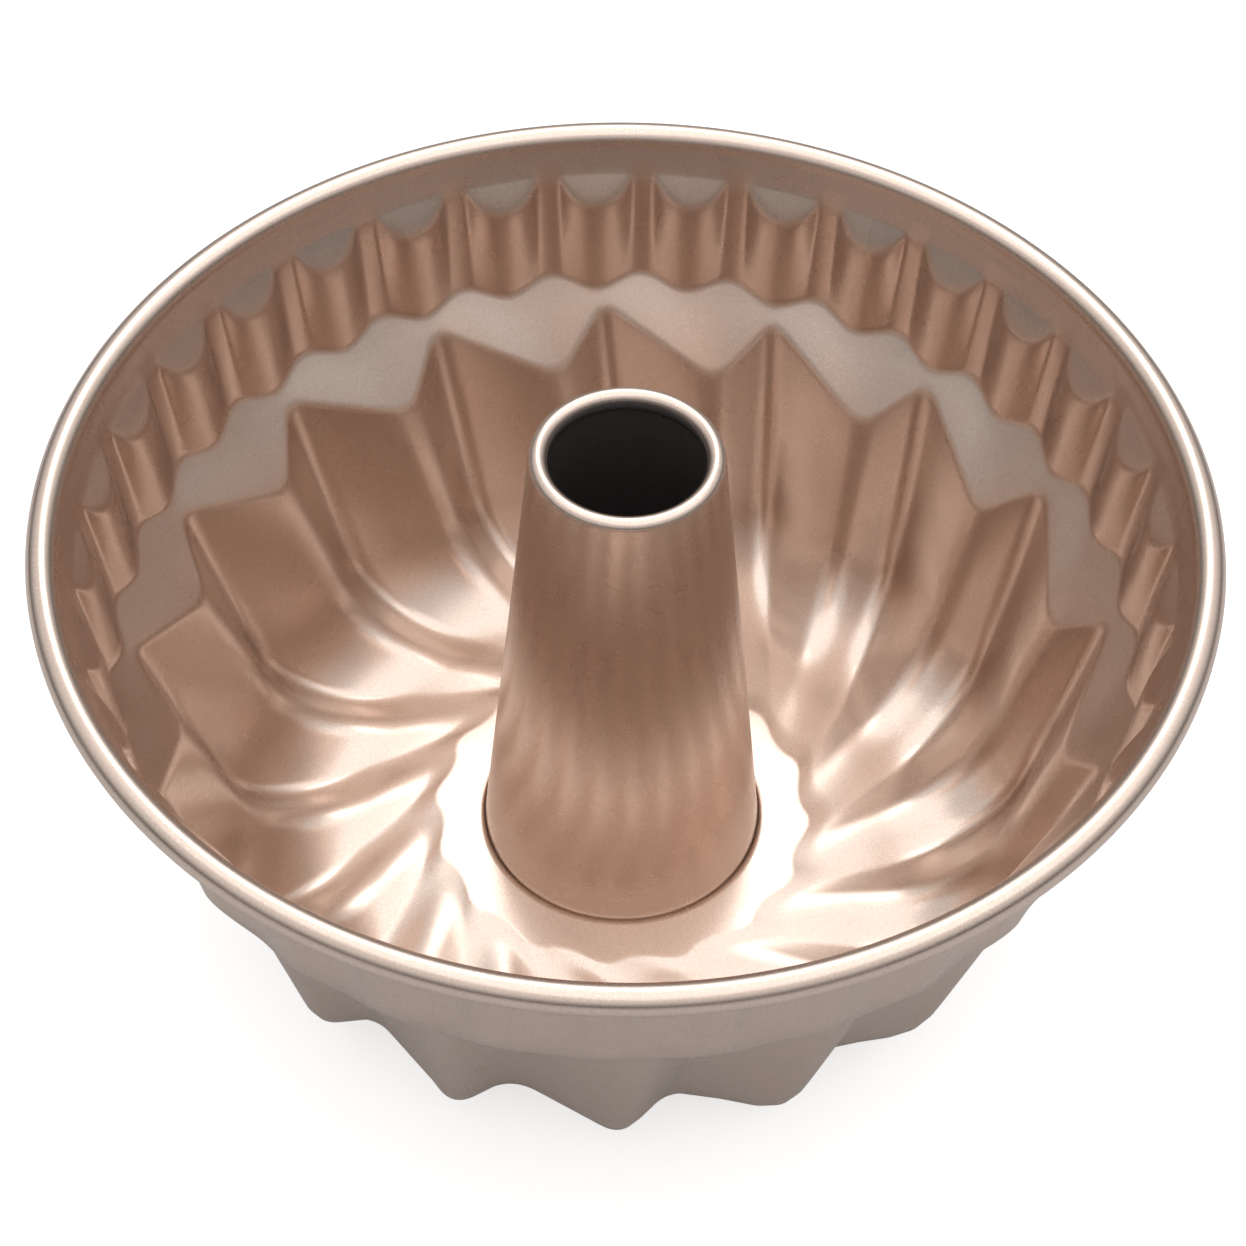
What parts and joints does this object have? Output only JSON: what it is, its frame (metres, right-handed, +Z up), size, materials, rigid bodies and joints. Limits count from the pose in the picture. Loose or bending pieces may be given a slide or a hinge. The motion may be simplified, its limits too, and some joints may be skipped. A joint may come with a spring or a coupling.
{
  "type": "bundt pan",
  "caption": "Round metal cake pan with swirling fluted walls, a fluted upper band, a curled rim and a tapered open centre tube.",
  "frame": {"origin": "on the pan's axis, on the surface that it stands on, in the middle of its box", "axes": "+Z up along the centre tube; +X to the right and -Y towards the viewer in the picture"},
  "size_m": [0.245, 0.245, 0.1224],
  "materials": {
    "coated_steel": "satin champagne non-stick coating with a fine metallic grain",
    "wire_steel": "drawn wire"
  },
  "bodies": {
    "root": {"pan_shell": "coated_steel", "center_tube": "coated_steel", "rim_wire": "wire_steel"}
  },
  "joints": []
}
